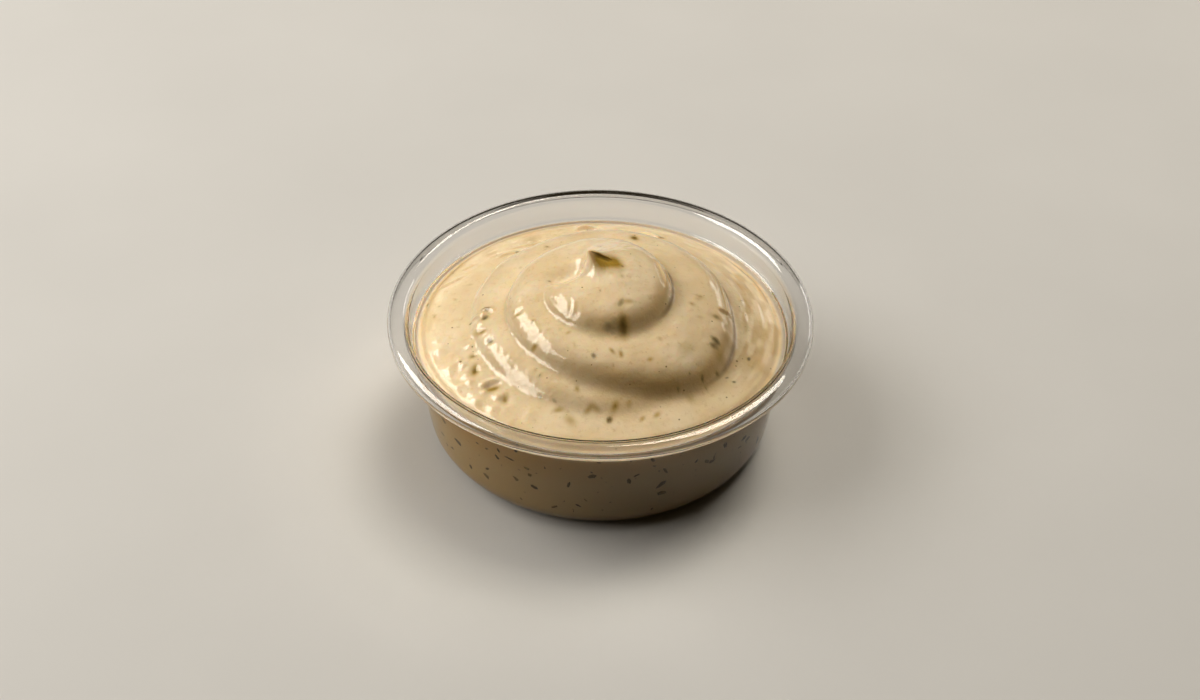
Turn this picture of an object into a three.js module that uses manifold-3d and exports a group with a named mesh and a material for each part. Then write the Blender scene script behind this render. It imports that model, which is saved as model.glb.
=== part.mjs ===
// A squat clear plastic cup, filled with thick jalapeno yogurt sauce that is swirled up to a peak.
// Millimetres, +Z up, front towards -Y. The origin is the middle of the cup's flat base.
// Turns round the swirl are counted in degrees, clockwise from the front as seen from above.

import * as THREE from "three";
import { mergeVertices } from "three/addons/utils/BufferGeometryUtils.js";
import Module from "manifold-3d";

// The cup: a thin pressed sheet with tapered wall, stacking ledge and arched lip.
const SHEET = 0.5;
const CUP_HEIGHT = 24.7;
const RIM_RADIUS = 37;
const BASE_CORNER_RADIUS = 30;
const WALL_TAPER = 0.149;
const BASE_FILLET = 5.3;
const LEDGE_HEIGHT = 19.8;
const LEDGE_RISE = 0.4;
const LEDGE_STEP = 0.45;
const ARCH_FOOT_HEIGHT = 22.5;
const CREST_RADIUS = 34.9;
const LIP_SHOULDER_DROP = 1.5;
const LIP_SKIRT_HEIGHT = 2.4;
const CUP_SEGMENTS = 72;
const FILLET_STEPS = 5;
const ARCH_STEPS = 4;

// The sauce: a mound with its edge just under the ledge, and a step along one spiral crease.
const GAP = 0.3;
const SAUCE_EDGE_HEIGHT = 19.6;
const MOUND_TOP = 32.5;
const MOUND_POWER = 1.6;
const MOUND_FLARE = 1.2;
const MOUND_SHIFT = { x: 2.2, y: -2.2 };
const EDGE_ROLL = { rise: 1.7, width: 1.8, fade: 4 };
const SAUCE_SEGMENTS = 72;
const SAUCE_RINGS = 38;

// The crease's distance from the cup's axis at each eighth of a turn inwards, from the front right.
const CREASE_RADII = [
  24.8, 25.3, 23.4, 22.5, 23, 23, 22.2, 22.8, 25.6, 21.5,
  18, 16.2, 14.7, 13.5, 11.5, 12.2, 13.5, 13.3, 11.4, 9.5,
];
const CREASE_START_TURN = -45;
const EIGHTH_TURN = 45;

// How strongly the crease shows, as turns and strengths. It changes smoothly from each to the next.
const CREASE_STRENGTHS = [
  [-45, 0], [0, 0.45], [45, 0.7], [90, 0.45], [135, 0.5], [180, 0.85], [225, 1], [765, 0.9], [810, 0],
];
const CREASE_CENTRE_FADE = [0, 6];
const CREASE_GROOVE = { depth: 1.3, width: 4.2 };
const CREASE_STEP = { rise: 3, fade: 5.6, sharpWidth: 1.1, softWidth: 2.5, softestTurn: 350 };

// The peak where the swirl ends: it runs out to the right as a ridge, and drops steeply on the left.
const PEAK = { x: -1.5, y: 0.5, rise: 4.7, width: 2.6, roundness: 0.3, leanX: -0.8, leanY: 0.2 };
const PEAK_RIDGE = { bearing: 22, stretch: 2.2, steepStretch: 0.4 };

// The hollow that runs up to the left side of the peak.
const HOLLOW = { fromX: -11, fromY: -1, toX: -3.8, toY: 1.9, depth: 1.5, width: 2, runIn: 5 };

// Bits of jalapeno that stand out of the sauce. The largest lie where named, the rest at random.
const PLACED_BITS = [
  { x: 2.5, y: -12.3, size: 2.1 },
  { x: 3.4, y: -8.9, size: 1.3 },
  { x: 19.6, y: -11, size: 1.6 },
  { x: 20.8, y: -6.8, size: 1.3 },
  { x: 5.9, y: 17, size: 0.9 },
  { x: 11, y: 24.5, size: 1 },
  { x: -20, y: -3.8, size: 1.2 },
  { x: -20.3, y: -7.1, size: 1 },
  { x: -18.6, y: -10.1, size: 1 },
  { x: -21.3, y: -14.8, size: 1.1 },
  { x: -15.6, y: -21.6, size: 0.9 },
  { x: -9.8, y: 16.1, size: 0.8 },
  { x: 1.7, y: -26.5, size: 0.8 },
];
const LOOSE_BIT_COUNT = 14;
const LOOSE_BIT_SIZES = [0.5, 0.9];
const LOOSE_BIT_RADII = [6, 29];
const BIT_FLATNESS = 0.45;
const BIT_NARROWNESS = 0.6;
const BIT_SINK = 0.15;
const RANDOM_SEED = 7;

const CLEAR_PLASTIC = new THREE.MeshStandardMaterial({
  color: 0xd9d6d0,
  roughness: 0.08,
  metalness: 0,
  transparent: true,
  opacity: 0.35,
});
const YOGURT_SAUCE = new THREE.MeshStandardMaterial({ color: 0xe0c49d, roughness: 0.35, metalness: 0 });

const wasm = await Module();
wasm.setup();

const WALL_ANGLE = Math.atan(WALL_TAPER);

// Radius of the straight wall at a height, for a surface that lies inset behind the outer face.
function wallRadius(height, inset) {
  return BASE_CORNER_RADIUS + WALL_TAPER * height - inset / Math.cos(WALL_ANGLE);
}

// Points on an ellipse's arc between two angles in degrees, both ends included.
function arcPoints(centre, radiusX, radiusY, fromDegrees, toDegrees, steps) {
  const points = [];
  for (let i = 0; i <= steps; i++) {
    const angle = THREE.MathUtils.degToRad(fromDegrees + ((toDegrees - fromDegrees) * i) / steps);
    points.push(new THREE.Vector2(
      centre.x + radiusX * Math.cos(angle),
      centre.y + radiusY * Math.sin(angle),
    ));
  }
  return points;
}

// The rounded corner between base and wall, from the base outwards, for a surface inset behind the outer face.
function baseCorner(inset) {
  const cornerOffset = (BASE_FILLET * (1 - Math.sin(WALL_ANGLE))) / Math.cos(WALL_ANGLE);
  const centre = new THREE.Vector2(BASE_CORNER_RADIUS - cornerOffset, BASE_FILLET);
  const radius = BASE_FILLET - inset;
  return arcPoints(centre, radius, radius, -90, -THREE.MathUtils.radToDeg(WALL_ANGLE), FILLET_STEPS);
}

// The ledge, where the wall steps outwards, from its foot to its top.
function ledge(inset) {
  const top = LEDGE_HEIGHT + LEDGE_RISE;
  return [
    new THREE.Vector2(wallRadius(LEDGE_HEIGHT, inset), LEDGE_HEIGHT),
    new THREE.Vector2(wallRadius(top, inset) + LEDGE_STEP, top),
  ];
}

// The arch over the lip, from the inner wall outwards, for a surface that lies inset below the upper face.
function lipArch(inset) {
  const innerReach = CREST_RADIUS - wallRadius(ARCH_FOOT_HEIGHT, SHEET) - LEDGE_STEP - inset;
  const outerReach = RIM_RADIUS - CREST_RADIUS - inset;
  const innerCentre = new THREE.Vector2(CREST_RADIUS, ARCH_FOOT_HEIGHT);
  const outerCentre = new THREE.Vector2(CREST_RADIUS, CUP_HEIGHT - LIP_SHOULDER_DROP);
  const innerRise = CUP_HEIGHT - ARCH_FOOT_HEIGHT - inset;
  const outerRise = LIP_SHOULDER_DROP - inset;
  return [
    ...arcPoints(innerCentre, innerReach, innerRise, 180, 90, ARCH_STEPS),
    ...arcPoints(outerCentre, outerReach, outerRise, 90, 0, ARCH_STEPS).slice(1),
  ];
}

// A solid turned about +Z from a profile of (radius, height) points.
function turned(profile, segments) {
  const geometry = new THREE.LatheGeometry(profile, segments);
  geometry.rotateX(Math.PI / 2);
  return geometry;
}

function makeCup() {
  const skirtFoot = CUP_HEIGHT - LIP_SKIRT_HEIGHT;
  const profile = [
    new THREE.Vector2(0, 0),
    ...baseCorner(0),
    ...ledge(0),
    ...lipArch(SHEET),
    new THREE.Vector2(RIM_RADIUS - SHEET, skirtFoot),
    new THREE.Vector2(RIM_RADIUS, skirtFoot),
    ...lipArch(0).reverse(),
    ...ledge(SHEET).reverse(),
    ...baseCorner(SHEET).reverse(),
    new THREE.Vector2(0, SHEET),
  ];
  return turned(profile, CUP_SEGMENTS);
}

const creaseSpline = new THREE.SplineCurve(
  CREASE_RADII.map((radius, i) => new THREE.Vector2(CREASE_START_TURN + i * EIGHTH_TURN, radius)),
);
const CREASE_SPAN = (CREASE_RADII.length - 1) * EIGHTH_TURN;

// The crease's distance from the axis after so many degrees of turn.
function creaseRadius(turn) {
  const share = (turn - CREASE_START_TURN) / CREASE_SPAN;
  return creaseSpline.getPoint(THREE.MathUtils.clamp(share, 0, 1)).y;
}

// How much a line at the crease leans off the circle about the axis, as a cosine.
function creaseSlant(turn) {
  const perRadian = (creaseRadius(turn + 1) - creaseRadius(turn - 1)) / THREE.MathUtils.degToRad(2);
  return 1 / Math.hypot(1, perRadian / creaseRadius(turn));
}

function creaseStrength(turn) {
  let strength = CREASE_STRENGTHS[0][1];
  for (let i = 1; i < CREASE_STRENGTHS.length; i++) {
    const [fromTurn, from] = CREASE_STRENGTHS[i - 1];
    const [toTurn, to] = CREASE_STRENGTHS[i];
    strength += (to - from) * THREE.MathUtils.smoothstep(turn, fromTurn, toTurn);
  }
  return strength;
}

// Height across the crease: a groove outside it, and inside it a roll that steps up and levels off.
function creaseStep(inside, turn) {
  if (inside < 0) return -CREASE_GROOVE.depth * Math.exp(inside / CREASE_GROOVE.width);
  const { rise, fade, sharpWidth, softWidth, softestTurn } = CREASE_STEP;
  const softness = 0.5 + 0.5 * Math.cos(THREE.MathUtils.degToRad(turn - softestTurn));
  const climb = Math.exp(-inside / THREE.MathUtils.lerp(sharpWidth, softWidth, softness));
  return rise * (1 - climb) * Math.exp(-inside / fade) - CREASE_GROOVE.depth * climb;
}

// The smooth mound under the swirl, with a rounded roll of sauce along the wall.
function moundHeight(x, y, edgeRadius) {
  const radius = Math.hypot(x, y);
  const shift = Math.max(0, 1 - (radius / edgeRadius) ** 2);
  const share = Math.min(1, Math.hypot(x - MOUND_SHIFT.x * shift, y - MOUND_SHIFT.y * shift) / edgeRadius);
  const inwards = Math.max(0, edgeRadius - radius);
  const roll = EDGE_ROLL.rise * (1 - Math.exp(-inwards / EDGE_ROLL.width)) * Math.exp(-inwards / EDGE_ROLL.fade);
  return SAUCE_EDGE_HEIGHT + (MOUND_TOP - SAUCE_EDGE_HEIGHT) * (1 - share ** MOUND_POWER) ** MOUND_FLARE + roll;
}

// The steps of every pass of the spiral crease over one place.
function swirlHeight(x, y) {
  const radius = Math.hypot(x, y);
  const bearing = THREE.MathUtils.euclideanModulo(THREE.MathUtils.radToDeg(Math.atan2(-x, -y)), 360);
  let height = 0;
  for (let turn = bearing - 360; turn < CREASE_START_TURN + CREASE_SPAN; turn += 360) {
    const inside = (creaseRadius(turn) - radius) * creaseSlant(turn);
    height += creaseStrength(turn) * creaseStep(inside, turn);
  }
  return height * THREE.MathUtils.smoothstep(radius, ...CREASE_CENTRE_FADE);
}

// The hollow on the left of the peak, a trough round a short line.
function hollowDepth(x, y) {
  const start = new THREE.Vector2(HOLLOW.fromX, HOLLOW.fromY);
  const line = new THREE.Vector2(HOLLOW.toX, HOLLOW.toY).sub(start);
  const from = new THREE.Vector2(x, y).sub(start);
  const along = from.dot(line) / line.length();
  const nearest = line.clone().setLength(THREE.MathUtils.clamp(along, 0, line.length()));
  const across = from.distanceTo(nearest) / HOLLOW.width;
  return HOLLOW.depth * Math.exp(-across * across) * THREE.MathUtils.smoothstep(along, 0, HOLLOW.runIn);
}

// How much of the peak stands over a place, from 1 at its tip to 0 far away.
function peakShare(x, y) {
  const bearing = THREE.MathUtils.degToRad(PEAK_RIDGE.bearing);
  const along = (x - PEAK.x) * Math.cos(bearing) + (y - PEAK.y) * Math.sin(bearing);
  const across = (y - PEAK.y) * Math.cos(bearing) - (x - PEAK.x) * Math.sin(bearing);
  const stretch = along > 0 ? PEAK_RIDGE.stretch : PEAK_RIDGE.steepStretch;
  const distance = Math.hypot(along / stretch, across);
  return Math.exp((PEAK.roundness - Math.hypot(distance, PEAK.roundness)) / PEAK.width);
}

function sauceHeight(x, y, edgeRadius) {
  return moundHeight(x, y, edgeRadius) + swirlHeight(x, y) + PEAK.rise * peakShare(x, y) - hollowDepth(x, y);
}

// A closed geometry as a solid, and a solid as a geometry.
function solidOf(geometry) {
  const bare = geometry.index ? geometry.toNonIndexed() : geometry.clone();
  bare.deleteAttribute("normal");
  bare.deleteAttribute("uv");
  const merged = mergeVertices(bare, 1e-3);
  return new wasm.Manifold(new wasm.Mesh({
    numProp: 3,
    vertProperties: merged.attributes.position.array,
    triVerts: new Uint32Array(merged.index.array),
  }));
}

function geometryOf(solid) {
  const mesh = solid.getMesh();
  const geometry = new THREE.BufferGeometry();
  geometry.setAttribute("position", new THREE.BufferAttribute(mesh.vertProperties, 3));
  geometry.setIndex(new THREE.BufferAttribute(mesh.triVerts, 1));
  geometry.computeVertexNormals();
  return geometry;
}

// The sauce without its bits: rings of the top surface draw in to the peak and rise to the sauce's height.
function makePlainSauce(edgeRadius) {
  const inset = SHEET + GAP;
  const profile = [new THREE.Vector2(0, inset), ...baseCorner(inset)];
  const firstRing = profile.length;
  for (let ring = 0; ring <= SAUCE_RINGS; ring++) {
    profile.push(new THREE.Vector2(edgeRadius * (1 - ring / SAUCE_RINGS), SAUCE_EDGE_HEIGHT));
  }
  const geometry = turned(profile, SAUCE_SEGMENTS);
  const position = geometry.attributes.position;
  for (let i = 0; i < position.count; i++) {
    const ring = (i % profile.length) - firstRing;
    if (ring < 0) continue;
    const drawn = (ring / SAUCE_RINGS) ** 2;
    const x = position.getX(i) + PEAK.x * drawn;
    const y = position.getY(i) + PEAK.y * drawn;
    const lean = peakShare(x, y) ** 2;
    position.setXYZ(i, x + PEAK.leanX * lean, y + PEAK.leanY * lean, sauceHeight(x, y, edgeRadius));
  }
  return geometry;
}

// Random numbers from 0 to 1 that are the same each time.
function seededRandom(seed) {
  let state = seed;
  return () => {
    state = (state * 16807) % 2147483647;
    return state / 2147483647;
  };
}

// All the bits that stand out: the placed ones, then loose ones spread evenly over the sauce's area.
function listBits(random) {
  const { lerp } = THREE.MathUtils;
  const bits = [...PLACED_BITS];
  for (let i = 0; i < LOOSE_BIT_COUNT; i++) {
    const [inner, outer] = LOOSE_BIT_RADII;
    const radius = Math.sqrt(lerp(inner * inner, outer * outer, (i + random()) / LOOSE_BIT_COUNT));
    const bearing = 2 * Math.PI * random();
    bits.push({
      x: radius * Math.cos(bearing),
      y: radius * Math.sin(bearing),
      size: lerp(...LOOSE_BIT_SIZES, random()),
    });
  }
  return bits;
}

function makeBit({ x, y, size }, random, edgeRadius) {
  const geometry = new THREE.IcosahedronGeometry(size, 0);
  geometry.scale(1, BIT_NARROWNESS, BIT_FLATNESS);
  geometry.rotateZ(2 * Math.PI * random());
  geometry.translate(x, y, sauceHeight(x, y, edgeRadius) - BIT_SINK * size);
  return geometry;
}

function makeSauce() {
  const edgeRadius = wallRadius(SAUCE_EDGE_HEIGHT, SHEET + GAP);
  const random = seededRandom(RANDOM_SEED);
  let solid = solidOf(makePlainSauce(edgeRadius));
  for (const bit of listBits(random)) {
    solid = solid.add(solidOf(makeBit(bit, random, edgeRadius)));
  }
  return geometryOf(solid);
}

function namedMesh(name, geometry, material) {
  const mesh = new THREE.Mesh(geometry, material);
  mesh.name = name;
  return mesh;
}

const part = new THREE.Group();
part.add(namedMesh("cup", makeCup(), CLEAR_PLASTIC));
part.add(namedMesh("sauce", makeSauce(), YOGURT_SAUCE));

export default part;
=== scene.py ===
# A squat clear plastic cup of thick jalapeno yogurt sauce, swirled up to a leaning peak.
# Sizes are in millimetres, and MM turns them into the frame's metres. +Z is up and -Y is the front.
# Turns round the swirl are in degrees, clockwise from the front as seen from above.
import math

import bpy
import numpy as np
from mathutils import Matrix, Vector


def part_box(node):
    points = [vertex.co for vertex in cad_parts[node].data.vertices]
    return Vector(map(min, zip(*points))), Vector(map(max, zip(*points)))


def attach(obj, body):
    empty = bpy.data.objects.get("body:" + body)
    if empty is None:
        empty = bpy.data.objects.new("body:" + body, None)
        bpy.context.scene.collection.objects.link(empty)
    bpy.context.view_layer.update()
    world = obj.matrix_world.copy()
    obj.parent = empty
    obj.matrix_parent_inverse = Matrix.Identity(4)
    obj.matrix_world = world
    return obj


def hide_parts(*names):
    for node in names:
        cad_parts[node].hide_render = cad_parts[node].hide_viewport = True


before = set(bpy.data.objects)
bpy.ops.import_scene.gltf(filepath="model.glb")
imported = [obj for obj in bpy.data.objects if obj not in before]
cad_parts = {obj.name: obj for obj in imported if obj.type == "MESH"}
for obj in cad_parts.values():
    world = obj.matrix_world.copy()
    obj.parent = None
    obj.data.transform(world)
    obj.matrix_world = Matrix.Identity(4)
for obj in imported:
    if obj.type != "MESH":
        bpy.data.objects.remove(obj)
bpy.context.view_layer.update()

MM = 0.001


# ---------------------------------------------------------------------------------------------------
# The cup. One sheet of clear PET, heated and pressed into a squat cup: a flat base, a tapered wall,
# a small ledge near the top that stacked cups rest on, and an arched lip that ends in a short skirt.
# ---------------------------------------------------------------------------------------------------
SHEET = 0.5
CUP_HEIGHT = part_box("cup")[1][2] / MM
RIM_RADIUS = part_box("cup")[1][0] / MM
BASE_CORNER_RADIUS = 30
WALL_TAPER = 0.149
WALL_ANGLE = math.atan(WALL_TAPER)
BASE_FILLET = 5.3
LEDGE_HEIGHT = 20
LEDGE_HALF_RISE = 0.3
LEDGE_STEP = 0.45
ARCH_FOOT_HEIGHT = 22.5
CREST_RADIUS = 34.9
LIP_SHOULDER_DROP = 1.5
LIP_SKIRT_HEIGHT = 2.4
CUP_COLUMNS = 288
PLASTIC_FACE_ON, PLASTIC_EDGE_ON = (0.95, 0.945, 0.94), (0.50, 0.50, 0.51)
PLASTIC_SHADOW = (0.84, 0.84, 0.83, 1)
PLASTIC_IOR = 1.57


def eased(low, high, value):
    """Smoothstep: 0 below low, 1 above high, and 3t^2 - 2t^3 between them."""
    t = np.clip((value - low) / (high - low), 0, 1)
    return t * t * (3 - 2 * t)


def between(start, full, fading, end, value):
    """Smoothstep up from start to full, times smoothstep down from fading to end."""
    return eased(start, full, value) * (1 - eased(fading, end, value))


def arc(centre, reach, rise, start, stop, steps):
    """Points of an ellipse from start to stop degrees: centre + (reach cos a, rise sin a)."""
    a = np.radians(np.linspace(start, stop, steps + 1))
    return np.stack([centre[0] + reach * np.cos(a), centre[1] + rise * np.sin(a)], axis=1)


def base_corner(inset):
    """The fillet between base and wall, for a surface that lies inset behind the outer face."""
    offset = BASE_FILLET * (1 - math.sin(WALL_ANGLE)) / math.cos(WALL_ANGLE)
    centre = (BASE_CORNER_RADIUS - offset, BASE_FILLET)
    radius = BASE_FILLET - inset
    return arc(centre, radius, radius, -90, -math.degrees(WALL_ANGLE), 12)


def wall(heights, inset):
    """The wall at each height: the taper's straight line, stepped out by a smoothstep at the ledge."""
    step = LEDGE_STEP * eased(LEDGE_HEIGHT - LEDGE_HALF_RISE, LEDGE_HEIGHT + LEDGE_HALF_RISE, heights)
    radii = BASE_CORNER_RADIUS + WALL_TAPER * heights - inset / math.cos(WALL_ANGLE) + step
    return np.stack([radii, heights], axis=1)


def lip_arch(inset):
    """The arch from the inner wall over the crest to the skirt, as two quarter ellipses."""
    foot = wall(np.array([ARCH_FOOT_HEIGHT]), SHEET)[0, 0]
    inner = arc((CREST_RADIUS, ARCH_FOOT_HEIGHT), CREST_RADIUS - foot - inset,
                CUP_HEIGHT - ARCH_FOOT_HEIGHT - inset, 180, 90, 14)
    outer = arc((CREST_RADIUS, CUP_HEIGHT - LIP_SHOULDER_DROP), RIM_RADIUS - CREST_RADIUS - inset,
                LIP_SHOULDER_DROP - inset, 90, 0, 12)
    return np.concatenate([inner, outer[1:]])


def closed_skin(name, rings):
    """A closed mesh of rings of points, shape (rows, columns, 3) in millimetres, turning clockwise
    seen from above. Rows are joined by quads, and a fan to its own middle closes each end."""
    rows, columns, _ = rings.shape
    ends = np.stack([rings[0].mean(axis=0), rings[-1].mean(axis=0)])
    points = np.concatenate([rings.reshape(-1, 3), ends]) * MM
    here = np.arange(rows * columns).reshape(rows, columns)
    beside = np.roll(here, -1, axis=1)
    quads = np.stack([here[:-1], here[1:], beside[1:], beside[:-1]], axis=-1).reshape(-1, 4)
    first = np.stack([here[0], beside[0], np.full(columns, rows * columns)], axis=-1)
    last = np.stack([beside[-1], here[-1], np.full(columns, rows * columns + 1)], axis=-1)
    corners = np.concatenate([quads.ravel(), first.ravel(), last.ravel()])
    sizes = np.concatenate([np.full(len(quads), 4), np.full(2 * columns, 3)])
    mesh = bpy.data.meshes.new(name)
    mesh.vertices.add(len(points))
    mesh.vertices.foreach_set("co", points.ravel())
    mesh.loops.add(len(corners))
    mesh.loops.foreach_set("vertex_index", corners)
    mesh.polygons.add(len(sizes))
    mesh.polygons.foreach_set("loop_start", np.concatenate([[0], np.cumsum(sizes)[:-1]]))
    mesh.update(calc_edges=True)
    mesh.shade_smooth()
    piece = bpy.data.objects.new(name, mesh)
    bpy.context.scene.collection.objects.link(piece)
    return piece


def turned_rings(profile, columns):
    """A profile of (radius, height) carried round Z: x = -radius sin a, y = -radius cos a."""
    a = np.linspace(0, 2 * np.pi, columns, endpoint=False)
    radii, heights = profile[:, :1], profile[:, 1:]
    return np.stack([-radii * np.sin(a), -radii * np.cos(a), heights + 0 * a], axis=-1)


skirt_foot = CUP_HEIGHT - LIP_SKIRT_HEIGHT + SHEET / 2
wall_heights = np.concatenate([np.linspace(6, 19, 5), np.linspace(19.7, 20.3, 9), [21, 21.8]])
flat_base = np.array([[0.01, 0], [12, 0], [22, 0]])
flat_floor = np.array([[22, SHEET], [12, SHEET], [0.01, SHEET]])
cup_profile = np.concatenate([
    flat_base,
    base_corner(0),
    wall(wall_heights, 0),
    lip_arch(SHEET),
    arc((RIM_RADIUS - SHEET / 2, skirt_foot), SHEET / 2, SHEET / 2, -180, 0, 6),
    lip_arch(0)[::-1],
    wall(wall_heights, SHEET)[::-1],
    base_corner(SHEET)[::-1],
    flat_floor,
])
cup = closed_skin("clear_cup", turned_rings(cup_profile, CUP_COLUMNS))


class Nodes:
    """Shorthand for a new material's node tree, with Object coordinates in millimetres at hand."""

    def __init__(self, name):
        self.material = bpy.data.materials.new(name)
        self.material.use_nodes = True
        self.tree = self.material.node_tree
        self.tree.nodes.clear()
        self.shader = self.add("ShaderNodeBsdfPrincipled")
        self.output = self.add("ShaderNodeOutputMaterial")
        self.join(self.shader.outputs[0], self.output.inputs["Surface"])
        place = self.add("ShaderNodeTexCoord").outputs["Object"]
        scaled = self.add("ShaderNodeMapping", Scale=(1 / MM, 1 / MM, 1 / MM))
        self.join(place, scaled.inputs["Vector"])
        self.place = scaled.outputs[0]

    def add(self, kind, **values):
        node = self.tree.nodes.new(kind)
        for key, value in values.items():
            if key in node.inputs:
                node.inputs[key].default_value = value
            else:
                setattr(node, key, value)
        return node

    def join(self, source, target):
        self.tree.links.new(source, target)

    def noise(self, scale, detail=3.0, roughness=0.5, stretch=(1, 1, 1)):
        """Noise over the piece, with scale features to the millimetre, stretched along the axes."""
        mapping = self.add("ShaderNodeMapping", Scale=stretch)
        self.join(self.place, mapping.inputs["Vector"])
        node = self.add("ShaderNodeTexNoise", Scale=scale, Detail=detail, Roughness=roughness)
        self.join(mapping.outputs[0], node.inputs["Vector"])
        return node.outputs["Fac"]

    def ranged(self, source, low, high, to_low, to_high):
        """source, moved from the range low to high onto to_low to to_high, held at both ends."""
        node = self.add("ShaderNodeMapRange")
        self.join(source, node.inputs["Value"])
        for key, value in (("From Min", low), ("From Max", high), ("To Min", to_low), ("To Max", to_high)):
            node.inputs[key].default_value = value
        return node.outputs["Result"]

    def mixed(self, share, first, second):
        """A colour between first and second. Each is a socket or a linear colour."""
        node = self.add("ShaderNodeMix", data_type="RGBA")
        self.join(share, node.inputs["Factor"])
        for value, socket in ((first, node.inputs[6]), (second, node.inputs[7])):
            if isinstance(value, tuple):
                socket.default_value = (*value, 1)
            else:
                self.join(value, socket)
        return node.outputs[2]

    def attribute(self, name):
        """The number that spread_on keeps for each vertex of the piece."""
        return self.add("ShaderNodeAttribute", attribute_name=name).outputs["Fac"]

    def specks(self, scale, chosen, small, large):
        """Soft dots, 0.8 at most, in the Voronoi cells whose random value is over chosen. Their radii
        lie between small and large, as shares of a cell, and the noise bends them out of round."""
        wavy = self.add("ShaderNodeTexNoise", Scale=3 * scale, Detail=2.0)
        self.join(self.place, wavy.inputs["Vector"])
        bent = self.add("ShaderNodeMix", data_type="VECTOR", Factor=0.12 / scale)
        self.join(self.place, bent.inputs[4])
        self.join(wavy.outputs["Color"], bent.inputs[5])
        cells = self.add("ShaderNodeTexVoronoi", Scale=scale)
        self.join(bent.outputs[1], cells.inputs["Vector"])
        size = self.ranged(cells.outputs["Color"], chosen, 1, small, large)
        inside = self.add("ShaderNodeMath", operation="SUBTRACT")
        self.join(size, inside.inputs[0])
        self.join(cells.outputs["Distance"], inside.inputs[1])
        picked = self.ranged(cells.outputs["Color"], chosen, chosen + 0.01, 0, 1)
        soft = self.add("ShaderNodeMath", operation="MULTIPLY")
        self.join(picked, soft.inputs[0])
        self.join(self.ranged(inside.outputs[0], -0.02, 0.05, 0, 0.8), soft.inputs[1])
        return soft.outputs[0]

    def bump(self, height, distance, under=None):
        """A bump of that many millimetres, laid over the one under it."""
        node = self.add("ShaderNodeBump", Distance=distance * MM, Strength=1.0)
        self.join(height, node.inputs["Height"])
        if under is not None:
            self.join(under, node.inputs["Normal"])
        return node.outputs[0]


def clear_plastic():
    """Clear PET: glass-like, greyer edge on, faintly uneven from pressing. Shadow rays pass it."""
    n = Nodes("clear_plastic")
    edge_on = n.ranged(n.add("ShaderNodeLayerWeight", Blend=0.35).outputs["Facing"], 0.3, 1, 0, 1)
    n.join(n.mixed(edge_on, PLASTIC_FACE_ON, PLASTIC_EDGE_ON), n.shader.inputs["Base Color"])
    n.shader.inputs["Transmission Weight"].default_value = 1
    n.shader.inputs["IOR"].default_value = PLASTIC_IOR
    haze = n.noise(0.35, detail=4)
    n.join(n.ranged(haze, 0.35, 0.7, 0.01, 0.035), n.shader.inputs["Roughness"])
    waves = n.noise(0.12, detail=2, stretch=(1, 1, 0.3))
    n.join(n.bump(waves, 0.05), n.shader.inputs["Normal"])
    see_through = n.add("ShaderNodeBsdfTransparent", Color=PLASTIC_SHADOW)
    rays = n.add("ShaderNodeLightPath")
    choice = n.add("ShaderNodeMixShader")
    n.join(rays.outputs["Is Shadow Ray"], choice.inputs[0])
    n.join(n.shader.outputs[0], choice.inputs[1])
    n.join(see_through.outputs[0], choice.inputs[2])
    n.join(choice.outputs[0], n.output.inputs["Surface"])
    return n.material


cup.data.materials.append(clear_plastic())
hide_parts("cup")
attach(cup, "root")


# ---------------------------------------------------------------------------------------------------
# The sauce. Thick yogurt with blended jalapeno, spooned into the cup and swirled up from the wall to
# a peak in one turn after another. It fills the cup to the wall, so its side reaches into the sheet.
# ---------------------------------------------------------------------------------------------------
INTO_WALL = 0.15
SAUCE_EDGE_HEIGHT = 19.6
MOUND_REACH, MOUND_TOP = 32.1, 32.5
MOUND_POWER, MOUND_FLARE = 1.6, 1.2
MOUND_SHIFT = (2.2, -2.2)
EDGE_ROLL_RISE, EDGE_ROLL_WIDTH, EDGE_ROLL_FADE = 1.7, 1.8, 4
EDGE_ROLL_UNEVENNESS, FULLEST_ROLL_TURN = 0.3, 60
MENISCUS_RISE, MENISCUS_WIDTH = 0.35, 0.3
EDGE_GROOVE_DEPTH, EDGE_GROOVE_INWARDS, EDGE_GROOVE_WIDTH = 0.4, 1.2, 0.5
SAUCE_COLUMNS, SAUCE_ROWS, SAUCE_ROW_POWER = 448, 200, 1.12

# The crease's distance from the cup's axis at each eighth of a turn inwards, from the front right.
CREASE_START = -45
CREASE_RADII = np.array([
    24.8, 25.3, 23.4, 22.5, 23.0, 23.0, 22.2, 22.8, 25.6, 21.5,
    18.0, 16.2, 14.7, 13.5, 11.5, 12.2, 13.5, 13.3, 11.4, 9.5])
CREASE_STRENGTHS = [
    (-45, 0), (0, 0.45), (45, 0.7), (90, 0.45), (135, 0.5), (180, 0.85), (225, 1), (765, 0.9), (810, 0)]
CREASE_CENTRE_FADE = (0, 6)
GROOVE_DEPTH, GROOVE_WIDTH = 1.3, 4.2
STEP_RISE, STEP_FADE = 3.2, 5.6
SHARP_WIDTH, SOFT_WIDTH, SOFTEST_TURN = 1.1, 2.2, 350
SHARP_ROUNDING, SOFT_ROUNDING = 0.05, 0.42
OVERHANG, OVERHANG_INSIDE, OVERHANG_WIDTH = 0.45, 0.9, 0.8

# The peak's ridge runs out at this bearing, and its other side is steep.
PEAK = (-1.5, 0.5)
PEAK_RISE, PEAK_WIDTH, PEAK_ROUNDNESS, PEAK_LEAN = 4.7, 2.6, 0.3, (-0.8, 0.2)
RIDGE_BEARING, RIDGE_STRETCH, STEEP_STRETCH = math.radians(22), 2.0, 0.4
RIDGE_BROADENING, RIDGE_BROADENS_OVER = 0.6, 3
HOLLOW_FROM, HOLLOW_TO = (-11, -1), (-3.8, 1.9)
HOLLOW_DEPTH, HOLLOW_WIDTH, HOLLOW_RUN_IN = 1.5, 2, 5


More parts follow.
